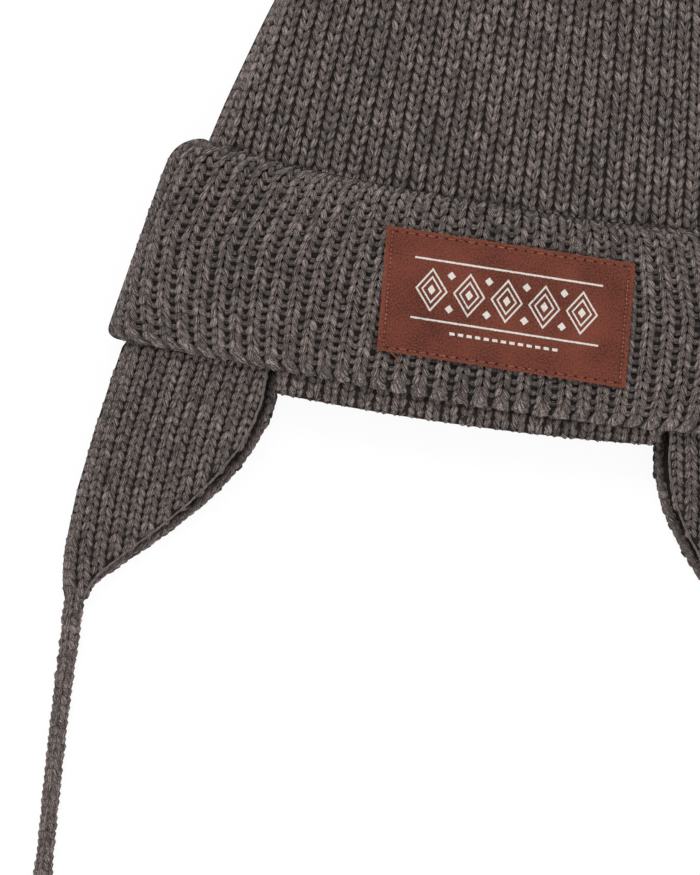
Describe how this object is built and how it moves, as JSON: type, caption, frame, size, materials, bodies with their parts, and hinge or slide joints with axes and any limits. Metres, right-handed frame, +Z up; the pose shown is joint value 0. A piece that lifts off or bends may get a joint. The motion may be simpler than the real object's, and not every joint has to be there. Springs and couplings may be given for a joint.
{
  "type": "earflap beanie",
  "caption": "Chunky knitted beanie lying flat on its back: hollow tapering crown, turned-up ribbed cuff with a sewn patch, ear flaps folded in half and round knitted ties.",
  "frame": {"origin": "on the surface the hat lies on, under the middle of the hat's box, ties not counted", "axes": "+Y from the head opening to the top of the crown, +Z up through the front of the hat, +X towards the viewer's right when the front is looked at with the crown up"},
  "size_m": [0.232, 0.5093, 0.0277],
  "materials": {
    "yarn_crown": "stockinette in a taupe two-ply wool blend",
    "yarn_cuff": "knit and purl rib in a taupe two-ply wool blend",
    "yarn_hem": "stockinette in a taupe two-ply wool blend",
    "yarn_flap": "stockinette in a taupe two-ply wool blend",
    "yarn_tie": "round knitted cord in a taupe two-ply wool blend",
    "label_cloth": "woven satin, rust brown"
  },
  "bodies": {
    "root": {"crown": "yarn_crown", "cuff": "yarn_cuff", "hem_front": "yarn_hem", "hem_back": "yarn_hem", "ear_flap_left": "yarn_flap", "ear_flap_right": "yarn_flap", "tie_left": "yarn_tie", "tie_right": "yarn_tie", "label": "label_cloth"}
  },
  "joints": []
}
